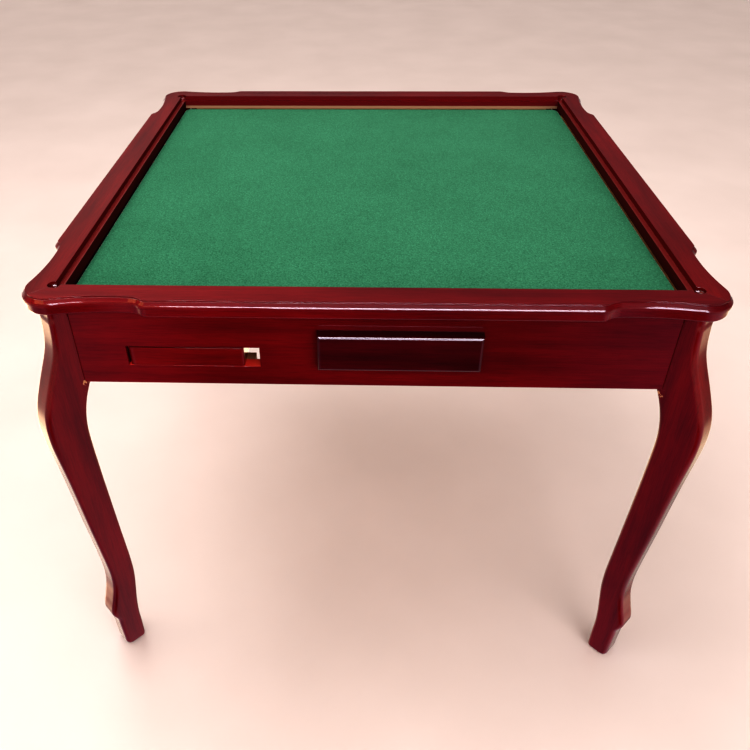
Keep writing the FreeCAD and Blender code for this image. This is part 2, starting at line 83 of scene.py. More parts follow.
def feed(links, socket, value):
    """Link a socket to another one, or set it where the value is a plain number or colour."""
    if isinstance(value, bpy.types.NodeSocket):
        links.new(value, socket)
    else:
        socket.default_value = value


def mixed(made, links, first, second, factor=1.0, kind="MIX"):
    """The first colour blended with the second."""
    mix = made.new("ShaderNodeMix")
    mix.data_type = "RGBA"
    mix.blend_type = kind
    feed(links, mix.inputs["Factor"], factor)
    feed(links, mix.inputs["A"], first)
    feed(links, mix.inputs["B"], second)
    return mix.outputs["Result"]


def ramp(made, links, source, stops):
    """A colour ramp fed by one socket; stops are (position, colour)."""
    node = made.new("ShaderNodeValToRGB")
    links.new(source, node.inputs["Fac"])
    node.color_ramp.elements[0].position, node.color_ramp.elements[0].color = stops[0]
    node.color_ramp.elements[1].position, node.color_ramp.elements[1].color = stops[-1]
    for position, colour in stops[1:-1]:
        element = node.color_ramp.elements.new(position)
        element.color = colour
    return node.outputs["Color"]


def stretched_noise(made, links, scale, detail, roughness=0.6):
    """Noise in the table's own metres, with a scale for each axis."""
    place = made.new("ShaderNodeTexCoord")
    mapping = made.new("ShaderNodeMapping")
    mapping.inputs["Scale"].default_value = scale
    noise = made.new("ShaderNodeTexNoise")
    noise.inputs["Scale"].default_value = 1.0
    noise.inputs["Detail"].default_value = detail
    noise.inputs["Roughness"].default_value = roughness
    links.new(place.outputs["Object"], mapping.inputs["Vector"])
    links.new(mapping.outputs["Vector"], noise.inputs["Vector"])
    return noise.outputs["Fac"]


def even_noise(made, links, scale, detail, roughness=0.6):
    """Noise of the same size in every direction."""
    return stretched_noise(made, links, (scale, scale, scale), detail, roughness)


def grain_noise(made, links, along, across_grain, along_grain, detail, roughness):
    """Noise drawn out along the grain, which runs along one axis."""
    scale = tuple(along_grain if axis == along else across_grain for axis in "XYZ")
    return stretched_noise(made, links, scale, detail, roughness)


def bumped(made, links, shader, height, strength, distance):
    """Raise and sink a shader's surface by a height; returns the bump."""
    bump = made.new("ShaderNodeBump")
    bump.inputs["Strength"].default_value = strength
    bump.inputs["Distance"].default_value = distance
    links.new(height, bump.inputs["Height"])
    links.new(bump.outputs["Normal"], shader.inputs["Normal"])
    return bump


def lacquered_wood(name, along, dark=MAHOGANY_DARK, middle=MAHOGANY, light=MAHOGANY_LIGHT):
    """Stained wood with figure, blotches, pores and painted corner shade, under clear gloss lacquer."""
    material, made, links, shader = new_material(name)
    figure = grain_noise(made, links, along, FIGURE_ACROSS, FIGURE_ALONG, 6, 0.62)
    pores = grain_noise(made, links, along, PORES_ACROSS, PORES_ALONG, 3, 0.7)
    cloud = even_noise(made, links, BLOTCH_SCALE, 2, 0.5)
    stain = ramp(made, links, figure, [(0.28, dark), (0.5, middle), (0.76, light)])
    blotch = ramp(made, links, cloud, [(0.3, BLOTCH_DARK), (0.7, BLOTCH_LIGHT)])
    streaks = ramp(made, links, pores, [(0.36, PORE_SHADE), (0.56, WHITE)])
    colour = mixed(made, links, stain, blotch, kind="MULTIPLY")
    colour = mixed(made, links, colour, streaks, PORE_STRENGTH, "MULTIPLY")
    # Painted shade: ambient occlusion darkens the colour in inside corners, grooves and seams.
    occlusion = made.new("ShaderNodeAmbientOcclusion")
    occlusion.samples = 6
    occlusion.inputs["Distance"].default_value = PAINTED_SHADE_REACH
    painted_corner_shade = ramp(made, links, occlusion.outputs["AO"], [(0.40, PAINTED_CREVICE_SHADE), (0.75, WHITE)])
    colour = mixed(made, links, colour, painted_corner_shade, kind="MULTIPLY")
    links.new(colour, shader.inputs["Base Color"])
    eased = made.new("ShaderNodeBevel")
    eased.samples = 4
    eased.inputs["Radius"].default_value = EASED_EDGE
    peel = even_noise(made, links, PEEL_SCALE, 2, 0.5)
    bump = bumped(made, links, shader, peel, PEEL_STRENGTH, PEEL_DEPTH)
    links.new(eased.outputs["Normal"], bump.inputs["Normal"])
    links.new(bump.outputs["Normal"], shader.inputs["Coat Normal"])
    shader.inputs["Roughness"].default_value = STAIN_ROUGHNESS
    shader.inputs["Specular IOR Level"].default_value = STAIN_GLOSS
    shader.inputs["Coat Weight"].default_value = 1.0
    shader.inputs["Coat Roughness"].default_value = LACQUER_ROUGHNESS
    shader.inputs["Coat IOR"].default_value = LACQUER_IOR
    return material


def dress(material, *names):
    """Put one material on the named nodes."""
    for name in names:
        mesh = nodes[name].data
        mesh.materials.clear()
        mesh.materials.append(material)


CORNERS = {"front_left": (-1, -1), "front_right": (1, -1), "back_right": (1, 1), "back_left": (-1, 1)}
LEG_HALF = 0.0195
OUTER_ROUND = 0.008
INNER_ROUND = 0.005
FOOT_ROUND = 0.003
LEFT_FOR_ROUNDING = 0.0022
BESIDE_THE_BOLTS = 0.012
INSIDE_THE_TABLE = 0.3
HAIR = 0.0001
FOOT_RINGS = (HAIR, 0.0006, 0.0015, 0.003, 0.005, 0.0075)
TOE_RING_STEP = 0.003
SHIN_RING_STEP = 0.006
ROOM_AT_TOP = 0.008
ROOM_AT_STEP = 0.002
TOE_SANDED_TO = 0.125
UNSANDED_END = 0.01
SHARP_FROM = math.radians(50)


def ring_heights(foot, top, step_at):
    """Heights of the rings round a leg: close together at the foot and toe, wider up the shin."""
    heights = [foot + rise for rise in FOOT_RINGS]
    while heights[-1] < top - ROOM_AT_TOP:
        heights.append(heights[-1] + (TOE_RING_STEP if heights[-1] < TOE_SANDED_TO else SHIN_RING_STEP))
    heights = [height for height in heights if abs(height - step_at) > ROOM_AT_STEP]
    return sorted(heights + [step_at - 2 * HAIR, step_at + 2 * HAIR, top - HAIR])


def sawn_edges(corner, outward, heights):
    """Where the two sawn edges of the plank lie along its diagonal, at each height."""
    mesh = nodes["leg_" + corner].data
    plank = BVHTree.FromPolygons([vertex.co for vertex in mesh.vertices],
                                 [tuple(face.vertices) for face in mesh.polygons])
    beside = Vector((-outward.y, outward.x, 0)) * BESIDE_THE_BOLTS
    inner, outer = [], []
    for height in heights:
        level = beside + Vector((0, 0, height))
        from_inside = plank.ray_cast(level + outward * INSIDE_THE_TABLE, outward)[0]
        from_outside = plank.ray_cast(level + outward, -outward)[0]
        inner.append(from_inside.dot(outward))
        outer.append(from_outside.dot(outward) + LEFT_FOR_ROUNDING)
    return inner, outer


def sanded(reach, heights, low, high, passes=3):
    """The sawn edge with its small corners sanded off between two heights."""
    for _ in range(passes):
        smooth = list(reach)
        for index in range(1, len(reach) - 1):
            if low < heights[index] < high:
                smooth[index] = (reach[index - 1] + 2 * reach[index] + reach[index + 1]) / 4
        reach = smooth
    return reach


def plank_outline(inner, outer, half, support=0.0015, steps=6):
    """The leg's section at one height, with all four edges rounded."""
    outline = []
    corners = ((outer, 1, 1, OUTER_ROUND), (inner, -1, 1, INNER_ROUND),
               (inner, -1, -1, INNER_ROUND), (outer, 1, -1, OUTER_ROUND))
    for turn, (edge, sign, side, radius) in enumerate(corners):
        centre = Vector((edge - sign * radius, side * (half - radius)))
        arc = []
        for step in range(steps + 1):
            angle = math.radians(90 * (turn + step / steps))
            arc.append(centre + radius * Vector((math.cos(angle), math.sin(angle))))
        start, end = math.radians(90 * turn), math.radians(90 * (turn + 1))
        outline.append(arc[0] - support * Vector((-math.sin(start), math.cos(start))))
        outline += arc
        outline.append(arc[-1] + support * Vector((-math.sin(end), math.cos(end))))
    return outline


def skin(shape, rings):
    """Join rings of points into a solid, with a face over each end."""
    for lower, upper in zip(rings[:-1], rings[1:]):
        for index in range(len(lower)):
            after = (index + 1) % len(lower)
            shape.faces.new((lower[index], lower[after], upper[after], upper[index]))
    shape.faces.new(rings[-1])
    shape.faces.new(list(reversed(rings[0])))


def finished_piece(name, shape, *materials):
    """Turn a shape into an object in the scene, with the given materials."""
    mesh = bpy.data.meshes.new(name)
    shape.to_mesh(mesh)
    shape.free()
    for material in materials:
        mesh.materials.append(material)
    piece = bpy.data.objects.new(name, mesh)
    bpy.context.scene.collection.objects.link(piece)
    return piece


def make_leg(corner, material):
    outward = Vector((*CORNERS[corner], 0)).normalized()
    across = Vector((-outward.y, outward.x, 0))
    low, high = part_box("leg_" + corner)
    step_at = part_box("playing_board")[0].z
    apron_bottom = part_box("apron_front")[0].z
    heights = ring_heights(low.z, high.z, step_at)
    inner, outer = sawn_edges(corner, outward, heights)
    inner = sanded(inner, heights, low.z + UNSANDED_END, apron_bottom)
    outer = sanded(outer, heights, low.z + UNSANDED_END, high.z - UNSANDED_END)
    outer = sanded(outer, heights, low.z + UNSANDED_END, TOE_SANDED_TO, passes=7)
    shape = bmesh.new()
    rings = []
    for height, near, far in zip(heights, inner, outer):
        rise = min(height - low.z, FOOT_ROUND)
        drawn_in = FOOT_ROUND - math.sqrt(max(FOOT_ROUND ** 2 - (FOOT_ROUND - rise) ** 2, 0))
        ring = []
        for reach, side in plank_outline(near, far, LEG_HALF - drawn_in):
            ring.append(shape.verts.new(outward * reach + across * side + Vector((0, 0, height))))
        rings.append(ring)
    skin(shape, rings)
    for face in shape.faces:
        face.smooth = True
    leg = finished_piece("shaped_leg_" + corner, shape, material)
    leg.data.set_sharp_from_angle(angle=SHARP_FROM)
    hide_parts("leg_" + corner)
    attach(leg, "table")


# Painted highlight: pale spots where the legs' inner edges catch the light under the aprons.
HIGHLIGHT_HEIGHT = 0.592
HIGHLIGHT_BAND_REACH = 0.010
HIGHLIGHT_EDGE_REACH = 0.848
HIGHLIGHT_SPOT_SCALE = 130
HIGHLIGHT_SPOTS_ABOVE = 0.56
PAINTED_HIGHLIGHT_SPOT = (0.42, 0.20, 0.10, 1)


def place_on_table(made, links):
    """The X, Y and Z of each point, in the table's own metres."""
    place = made.new("ShaderNodeTexCoord")
    parts = made.new("ShaderNodeSeparateXYZ")
    links.new(place.outputs["Object"], parts.inputs["Vector"])
    return parts.outputs


def worked_out(made, links, operation, *values):
    """One step of arithmetic on sockets and numbers."""
    node = made.new("ShaderNodeMath")
    node.operation = operation
    for socket, value in zip(node.inputs, values):
        feed(links, socket, value)
    return node.outputs["Value"]


def paint_edge_highlights(material):
    """Painted highlights: pale spots in one band of height, near the inner edge."""
    made, links = material.node_tree.nodes, material.node_tree.links
    colour = made["Principled BSDF"].inputs["Base Color"]
    place = place_on_table(made, links)
    in_band = worked_out(made, links, "COMPARE", place["Z"], HIGHLIGHT_HEIGHT, HIGHLIGHT_BAND_REACH)
    sideways = worked_out(made, links, "ABSOLUTE", place["X"])
    forward = worked_out(made, links, "ABSOLUTE", place["Y"])
    reach = worked_out(made, links, "ADD", sideways, forward)
    at_edge = worked_out(made, links, "LESS_THAN", reach, HIGHLIGHT_EDGE_REACH)
    spot_noise = even_noise(made, links, HIGHLIGHT_SPOT_SCALE, 3)
    spotted = worked_out(made, links, "GREATER_THAN", spot_noise, HIGHLIGHT_SPOTS_ABOVE)
    painted_spots = worked_out(made, links, "MULTIPLY", in_band, at_edge)
    painted_spots = worked_out(made, links, "MULTIPLY", painted_spots, spotted)
    links.new(mixed(made, links, colour.links[0].from_socket, PAINTED_HIGHLIGHT_SPOT, painted_spots), colour)


leg_wood = lacquered_wood("leg_lacquer", "Z")
paint_edge_highlights(leg_wood)
for corner in CORNERS:
    dress(leg_wood, "leg_" + corner)
    make_leg(corner, leg_wood)


# ---------------------------------------------------------------------------------------------
# Aprons are boards set between the legs. Faces and edges have the same red lacquer as the legs,
# over a stain painted lighter towards one end and darker towards the other, a painted falloff of
# light. Their sills, which face up, are painted a brighter red, a painted pool of light. The
# insides are bare wood, and at their top, under the rim, turn near-black on the front and left
# aprons and darker on the others.
SIDES = ("front", "right", "back", "left")
OUTWARD = {"front": (0, -1, 0), "right": (1, 0, 0), "back": (0, 1, 0), "left": (-1, 0, 0)}
ALONG = {"front": "X", "right": "Y", "back": "X", "left": "Y"}
RAW_LIGHT = (0.62, 0.40, 0.21, 1)
RAW_DARK = (0.42, 0.24, 0.115, 1)
RAW_ACROSS = 60
RAW_ALONG = 3
FIBRES_ACROSS = 1400
FIBRES_ALONG = 40
FIBRE_STRENGTH = 0.35
FIBRE_DEPTH = 0.0003
RAW_ROUGHNESS = 0.72
RAW_GLOSS = 0.3


def raw_figure(made, links, along, light, dark):
    """The colour of planed wood, streaked along its grain."""
    figure = grain_noise(made, links, along, RAW_ACROSS, RAW_ALONG, 6, 0.65)
    return ramp(made, links, figure, [(0.3, dark), (0.68, light)])


def bare_wood(name, along, light=RAW_LIGHT, dark=RAW_DARK):
    """Planed wood without any finish."""
    material, made, links, shader = new_material(name)
    links.new(raw_figure(made, links, along, light, dark), shader.inputs["Base Color"])
    fibres = grain_noise(made, links, along, FIBRES_ACROSS, FIBRES_ALONG, 2, 0.6)
    bumped(made, links, shader, fibres, FIBRE_STRENGTH, FIBRE_DEPTH)
    shader.inputs["Roughness"].default_value = RAW_ROUGHNESS
    shader.inputs["Specular IOR Level"].default_value = RAW_GLOSS
    return material


# Inner faces of the front and left aprons turn near-black above this band of heights.
NEAR_BLACK_TOP = (0.030, 0.003, 0.003, 1)
UPPER_BAND = (0.685, 0.715)
INSIDE_GLOSS = 0.1
SQUARELY = 0.9


def lacquered_outside(name, side, light, dark, upper_colour, colour_band):
    """Lacquer on every face but those that look into the table. Those are matt, and their own
    colour gives way to a second colour between the two heights of the band."""
    material = lacquered_wood(name, ALONG[side])
    made, links = material.node_tree.nodes, material.node_tree.links
    inner = made.new("ShaderNodeBsdfPrincipled")
    inner.inputs["Roughness"].default_value = RAW_ROUGHNESS
    inner.inputs["Specular IOR Level"].default_value = INSIDE_GLOSS
    upper_share = made.new("ShaderNodeMapRange")
    upper_share.inputs["From Min"].default_value = colour_band[0]
    upper_share.inputs["From Max"].default_value = colour_band[1]
    links.new(place_on_table(made, links)["Z"], upper_share.inputs["Value"])
    figure = raw_figure(made, links, ALONG[side], light, dark)
    stained = mixed(made, links, figure, upper_colour, upper_share.outputs["Result"])
    links.new(stained, inner.inputs["Base Color"])
    facing = made.new("ShaderNodeNewGeometry")
    toward = made.new("ShaderNodeVectorMath")
    toward.operation = "DOT_PRODUCT"
    toward.inputs[1].default_value = OUTWARD[side]
    links.new(facing.outputs["Normal"], toward.inputs[0])
    blend = made.new("ShaderNodeMixShader")
    looks_in = worked_out(made, links, "LESS_THAN", toward.outputs["Value"], -SQUARELY)
    links.new(looks_in, blend.inputs["Fac"])
    links.new(made["Principled BSDF"].outputs["BSDF"], blend.inputs[1])
    links.new(inner.outputs["BSDF"], blend.inputs[2])
    links.new(blend.outputs["Shader"], made["Material Output"].inputs["Surface"])
    return material


BOARD_HALF = 0.44
# Painted light: tints for a falloff of light from one end of a board to the other.
LIT_END_TINT = (1.12, 1.2, 1.2, 1)
SHADED_END_TINT = (0.84, 0.95, 1.2, 1)


def paint_light_falloff(material, along):
    """Painted light: the board is lighter towards one end and darker and bluer towards the other."""
    made, links = material.node_tree.nodes, material.node_tree.links
    colour = made["Principled BSDF"].inputs["Base Color"]
    run = made.new("ShaderNodeMapRange")
    run.inputs["From Min"].default_value = -BOARD_HALF
    run.inputs["From Max"].default_value = BOARD_HALF
    links.new(place_on_table(made, links)[along], run.inputs["Value"])
    strength = ramp(made, links, run.outputs["Result"], [(0.0, LIT_END_TINT), (1.0, SHADED_END_TINT)])
    uneven = mixed(made, links, colour.links[0].from_socket, strength, kind="MULTIPLY")
    links.new(uneven, colour)


# Painted light: the sills of the openings are painted a bright red, as if lit.
PAINTED_SILL_LIGHT = (0.66, 0.055, 0.045, 1)
SILL_TOP = 0.70


def paint_lit_ledges(material, lit_colour, below):
    """Painted light: faces that look up, below a given height, are painted a brighter colour."""
    made, links = material.node_tree.nodes, material.node_tree.links
    colour = made["Principled BSDF"].inputs["Base Color"]
    facing = made.new("ShaderNodeNewGeometry")
    upward = made.new("ShaderNodeSeparateXYZ")
    links.new(facing.outputs["Normal"], upward.inputs["Vector"])
    faces_up = worked_out(made, links, "GREATER_THAN", upward.outputs["Z"], SQUARELY)
    low_down = worked_out(made, links, "LESS_THAN", place_on_table(made, links)["Z"], below)
    lit_mask = worked_out(made, links, "MULTIPLY", faces_up, low_down)
    links.new(mixed(made, links, colour.links[0].from_socket, lit_colour, lit_mask), colour)


for side in SIDES:
    upper_colour = NEAR_BLACK_TOP if side in ("front", "left") else RAW_DARK
    apron_lacquer = lacquered_outside("apron_lacquer_" + side, side, RAW_LIGHT, RAW_DARK,
                                      upper_colour, UPPER_BAND)
    paint_light_falloff(apron_lacquer, ALONG[side])
    paint_lit_ledges(apron_lacquer, PAINTED_SILL_LIGHT, SILL_TOP)
    dress(apron_lacquer, "apron_" + side)


# ---------------------------------------------------------------------------------------------
# Corner blocks are glued across the corners between the aprons. Two zinc-plated hanger bolts with
# washers and nuts pull each leg against its block.
ZINC_DULL = (0.42, 0.42, 0.40, 1)
ZINC_BRIGHT = (0.66, 0.66, 0.63, 1)
SPANGLE_SCALE = 420
ZINC_ROUGHNESS = 0.32


def zinc(name):
    material, made, links, shader = new_material(name)
    spangle = even_noise(made, links, SPANGLE_SCALE, 3)
    colour = ramp(made, links, spangle, [(0.35, ZINC_DULL), (0.65, ZINC_BRIGHT)])
    links.new(colour, shader.inputs["Base Color"])
    shader.inputs["Metallic"].default_value = 1.0
    shader.inputs["Roughness"].default_value = ZINC_ROUGHNESS
    return material


dress(bare_wood("block_wood", "Z"), *["corner_block_" + corner for corner in CORNERS])
dress(zinc("zinc_plate"), "hanger_bolts", "bolt_washers", "bolt_nuts", "cleat_screws", "holder_pins")


# ---------------------------------------------------------------------------------------------
# The rim is four moulded rails, dowelled at the mitres, with a quirk and bead round the outer
# edge and a rebate for a cover board round the inner one. The walls that face into the table are
# matt and dark, but along the foot of the back wall the stain stopped short of a strip of bare
# wood. The ledges of the rebate on the front and side rails are painted a lighter red, a painted
# pool of light, and the front rail is painted lighter towards its left end, a painted falloff.
WALL_LIGHT = (0.070, 0.0030, 0.0014, 1)
WALL_DARK = (0.030, 0.0016, 0.0010, 1)
REBATE_WALL = (0.085, 0.0008, 0.0010, 1)
# Painted light: the rebate ledges are painted a lighter, pinker red than the rim.
PAINTED_LEDGE_LIGHT = (0.150, 0.022, 0.022, 1)
BACK_WALL = (0.130, 0.0006, 0.0026, 1)
BARE_STRIP = (0.34, 0.19, 0.12, 1)
BARE_STRIP_BAND = (0.7310, 0.7325)
REBATE_FLOOR = 0.742
HALF_MILLIMETRE = 0.0005
REBATE_BAND = (REBATE_FLOOR - HALF_MILLIMETRE, REBATE_FLOOR)
BEECH_LIGHT = (0.70, 0.50, 0.30, 1)
BEECH_DARK = (0.55, 0.37, 0.2, 1)

for side in ("front", "right", "left"):
    rail_lacquer = lacquered_outside("rail_lacquer_" + side, side, WALL_LIGHT, WALL_DARK,
                                     REBATE_WALL, REBATE_BAND)
    paint_lit_ledges(rail_lacquer, PAINTED_LEDGE_LIGHT, REBATE_FLOOR + HALF_MILLIMETRE)
    # Painted light: the front rail is lighter towards its left end.
    if side == "front":
        paint_light_falloff(rail_lacquer, ALONG[side])
    dress(rail_lacquer, "rail_" + side)
back_lacquer = lacquered_outside("rail_lacquer_back", "back", BARE_STRIP, BARE_STRIP,
                                 BACK_WALL, BARE_STRIP_BAND)
dress(back_lacquer, "rail_back")
dress(bare_wood("dowel_wood", "Z", BEECH_LIGHT, BEECH_DARK), "mitre_dowels", "rail_dowels")


# ---------------------------------------------------------------------------------------------
# Lacquer ran into the round corner reliefs of the rebate when the rim was sprayed. It set there
# as a glossy fillet between wall and floor.
RELIEF_RADIUS = 0.009
RELIEF_CENTRE = 0.421
POOL_ROUND = 0.004
POOL_GAP = 0.00005
POOL_HALF_TURN = 130


def make_pool(corner, material, steps=24, bends=6):
    outward = Vector((*CORNERS[corner], 0))
    centre = outward * RELIEF_CENTRE + Vector((0, 0, REBATE_FLOOR + POOL_GAP))
    wall = RELIEF_RADIUS - POOL_GAP
    section = [(wall, 0.0)]
    for bend in range(bends + 1):
        angle = math.radians(-90 * bend / bends)
        section.append((wall - POOL_ROUND + POOL_ROUND * math.cos(angle),
                        POOL_ROUND * (1 + math.sin(angle))))
    shape = bmesh.new()
    slices = []
    for step in range(steps + 1):
        turn = math.radians(POOL_HALF_TURN * (2 * step / steps - 1))
        angle = math.atan2(outward.y, outward.x) + turn
        ray = Vector((math.cos(angle), math.sin(angle), 0))
        slices.append([shape.verts.new(centre + ray * reach + Vector((0, 0, rise)))
                       for reach, rise in section])
    skin(shape, slices)
    bmesh.ops.recalc_face_normals(shape, faces=shape.faces)
    for face in shape.faces:
        face.smooth = True
    pool = finished_piece("lacquer_pool_" + corner, shape, material)
    pool.data.set_sharp_from_angle(angle=SHARP_FROM)
    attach(pool, "table")


pooled_lacquer = lacquered_wood("pooled_lacquer", "X")
for corner in CORNERS:
    make_pool(corner, pooled_lacquer)


# ---------------------------------------------------------------------------------------------
# Cleats, the inner frame, the drawer guides and the battens under the holders are softwood
# strips, glued and screwed inside the aprons. The cleats are painted near-black, a painted shade
# for the deep gap round the board.
# Painted shade: near-black colours for the cleats down in the gap.
CLEAT_LIGHT = (0.060, 0.008, 0.006, 1)
CLEAT_DARK = (0.030, 0.004, 0.003, 1)
BATTEN_LIGHT = (0.30, 0.15, 0.06, 1)
BATTEN_DARK = (0.2, 0.09, 0.035, 1)
ACROSS = {"front": "Y", "right": "X", "back": "Y", "left": "X"}
strip_wood = {"X": bare_wood("strip_wood_x", "X"), "Y": bare_wood("strip_wood_y", "Y")}
shade_painted_wood = {"X": bare_wood("oversprayed_wood_x", "X", CLEAT_LIGHT, CLEAT_DARK),
                    "Y": bare_wood("oversprayed_wood_y", "Y", CLEAT_LIGHT, CLEAT_DARK)}

for side in SIDES:
    dress(shade_painted_wood[ALONG[side]], "panel_cleat_" + side)
    dress(strip_wood[ALONG[side]], "inner_frame_" + side)
    dress(strip_wood[ACROSS[side]], "drawer_guides_" + side)
dress(bare_wood("batten_wood", "X", BATTEN_LIGHT, BATTEN_DARK), "holder_battens")


# ---------------------------------------------------------------------------------------------
# The playing board is a square of sanded plywood under the felt. It lies loose on the cleats and
# the inner frame.
PLYWOOD_LIGHT = (0.70, 0.50, 0.29, 1)
PLYWOOD_DARK = (0.55, 0.36, 0.18, 1)
dress(bare_wood("plywood", "X", PLYWOOD_LIGHT, PLYWOOD_DARK), "playing_board")


# ---------------------------------------------------------------------------------------------
# Green felt is glued over the board and trimmed at its edges. Its pile is short and slightly
# uneven, with stray fibres, and at the cut edge it turns down and shows its paler backing.
FELT_GREEN = (0.028, 0.130, 0.074, 1)
FELT_DEEP = (0.012, 0.080, 0.044, 1)
FELT_PALE = (0.060, 0.210, 0.125, 1)
NAP_DARK = (0.90, 0.93, 0.92, 1)
NAP_LIGHT = (1.08, 1.05, 1.06, 1)
FELT_BACKING = (0.46, 0.30, 0.24, 1)
FELT_FRAYED = (0.10, 0.20, 0.15, 1)
FELT_GLOW = (0.55, 0.85, 0.7, 1)
FELT_CORNER = 0.014
FELT_OVER_EDGE = 0.0040
FELT_PILE = 0.0020
FELT_TURN = ((0.0, 0.0015), (0.0006, 0.0005), (0.0018, 0.0))
PILE_SCALE = 430
TUFT_SCALE = 150
NAP_SCALE = 9
FRAY_SCALE = 160
PILE_STRENGTH = 0.7
PILE_DEPTH = 0.0009
FELT_ROUGHNESS = 0.95
FELT_GLOSS = 0.1
FELT_SHEEN = 0.08
FELT_SHEEN_ROUGHNESS = 0.6
QUADRANTS = ((1, 1), (-1, 1), (-1, -1), (1, -1))


def felt_outline(half, corner, steps=8):
    """A square with rounded corners."""
    points = []
    for turn, (right, back) in enumerate(QUADRANTS):
        for step in range(steps + 1):
            angle = math.radians(90 * turn + 90 * step / steps)
            points.append((right * (half - corner) + corner * math.cos(angle),
                           back * (half - corner) + corner * math.sin(angle)))
    return points


def felt_material():
    material, made, links, shader = new_material("green_felt")
    pile = even_noise(made, links, PILE_SCALE, 4, 0.8)
    tufts = even_noise(made, links, TUFT_SCALE, 4)
    nap = even_noise(made, links, NAP_SCALE, 3, 0.55)
    colour = ramp(made, links, pile, [(0.36, FELT_DEEP), (0.5, FELT_GREEN), (0.66, FELT_PALE)])
    shade = ramp(made, links, nap, [(0.3, NAP_DARK), (0.7, NAP_LIGHT)])
    links.new(mixed(made, links, colour, shade, kind="MULTIPLY"), shader.inputs["Base Color"])
    height = worked_out(made, links, "ADD", pile, tufts)
    bumped(made, links, shader, height, PILE_STRENGTH, PILE_DEPTH)
    shader.inputs["Roughness"].default_value = FELT_ROUGHNESS
    shader.inputs["Specular IOR Level"].default_value = FELT_GLOSS
    shader.inputs["Sheen Weight"].default_value = FELT_SHEEN
    shader.inputs["Sheen Roughness"].default_value = FELT_SHEEN_ROUGHNESS
    shader.inputs["Sheen Tint"].default_value = FELT_GLOW
    return material


def frayed_edge():
    material, made, links, shader = new_material("felt_cut_edge")
    tufts = even_noise(made, links, FRAY_SCALE, 4, 0.7)
    shades = [(0.42, FELT_GREEN), (0.52, FELT_FRAYED), (0.60, FELT_BACKING)]
    links.new(ramp(made, links, tufts, shades), shader.inputs["Base Color"])
    shader.inputs["Roughness"].default_value = FELT_ROUGHNESS
    shader.inputs["Specular IOR Level"].default_value = FELT_GLOSS
    return material


def make_felt():
    low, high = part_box("felt_cover")
    half = (high.x - low.x) / 2 + FELT_OVER_EDGE
    top = high.z + FELT_PILE
    shape = bmesh.new()
    rings = []
    for inset, height in [(0.0, low.z)] + [(inset, top - drop) for inset, drop in FELT_TURN]:
        outline = felt_outline(half - inset, FELT_CORNER - inset)
        rings.append([shape.verts.new((x, y, height)) for x, y in outline])
    skin(shape, rings)
    for face in shape.faces:
        at_edge = len(face.verts) == 4
        face.smooth = at_edge
        face.material_index = 1 if at_edge else 0
    felt = finished_piece("felt_cloth", shape, felt_material(), frayed_edge())
    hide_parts("felt_cover")
    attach(felt, "table")


make_felt()


# ---------------------------------------------------------------------------------------------
# Each drawer is a bare wooden box with a plywood bottom let into grooves. Its lacquered face
# stands proud of the apron, with all four front edges rounded; there is no handle. The bottoms
# still have the plain plywood colour that the frame's own material of that name gives them.
FACE_DARK = (0.034, 0.0006, 0.0036, 1)
FACE_RED = (0.056, 0.0012, 0.0054, 1)
FACE_LIGHT = (0.088, 0.003, 0.0080, 1)

for side in SIDES:
    face_wood = lacquered_wood("drawer_face_lacquer_" + side, ALONG[side],
                               FACE_DARK, FACE_RED, FACE_LIGHT)
    dress(face_wood, "drawer_face_" + side)
    dress(strip_wood[ACROSS[side]], "drawer_sides_" + side)
    dress(strip_wood[ALONG[side]], "drawer_back_" + side)
    dress(bpy.data.materials["plywood"], "drawer_bottom_" + side)


# ---------------------------------------------------------------------------------------------
# Each cup holder is a thick lacquered board with a round recess. It swings out on a steel pin
# at its left end, and its front lies flush in the apron when it is closed.
HOLDER_RED = (0.152, 0.0024, 0.0045, 1)
HOLDER_LIGHT = (0.200, 0.0050, 0.0060, 1)

for side in SIDES:
    holder_wood = lacquered_wood("holder_lacquer_" + side, ALONG[side],
                                 MAHOGANY_DARK, HOLDER_RED, HOLDER_LIGHT)
    dress(holder_wood, "holder_board_" + side)


# ---------------------------------------------------------------------------------------------
# A thin round glide of black nylon is nailed under each foot. The floor has scuffed it, and only
# its edge shows when the table stands.
NYLON_BLACK = (0.02, 0.018, 0.016, 1)
NYLON_SCUFFED = (0.05, 0.045, 0.04, 1)
SCUFF_SCALE = 300
NYLON_ROUGHNESS = 0.6


def nylon(name):
    material, made, links, shader = new_material(name)
    scuffs = even_noise(made, links, SCUFF_SCALE, 3)
    colour = ramp(made, links, scuffs, [(0.4, NYLON_BLACK), (0.7, NYLON_SCUFFED)])
    links.new(colour, shader.inputs["Base Color"])
    shader.inputs["Roughness"].default_value = NYLON_ROUGHNESS
    return material


dress(nylon("glide_nylon"), "foot_glides")


# ---------------------------------------------------------------------------------------------
# Studio: a plain pale floor that the gloss doesn't mirror, and a soft box overhead and a fill in
# front for the colours. Only the gloss sees the last three lights: two cool windows in front
# and a warm strip at the left.
FLOOR_REACH = 25.0
FLOOR_DARKER = (0.585, 0.49, 0.465, 1)
FLOOR_PALER = (0.625, 0.525, 0.50, 1)
MOTTLE_SCALE = 3
FLOOR_ROUGHNESS = 0.45


def make_floor():
    mesh = bpy.data.meshes.new("studio_floor")
    corners = [(right * FLOOR_REACH, back * FLOOR_REACH, 0) for right, back in QUADRANTS]
    mesh.from_pydata(corners, [], [(0, 1, 2, 3)])
    floor = bpy.data.objects.new("studio_floor", mesh)
    bpy.context.scene.collection.objects.link(floor)
    material, made, links, shader = new_material("pale_floor")
    mottle = even_noise(made, links, MOTTLE_SCALE, 3, 0.5)
    colour = ramp(made, links, mottle, [(0.3, FLOOR_DARKER), (0.7, FLOOR_PALER)])
    links.new(colour, shader.inputs["Base Color"])
    shader.inputs["Roughness"].default_value = FLOOR_ROUGHNESS
    mesh.materials.append(material)
    floor.visible_glossy = False


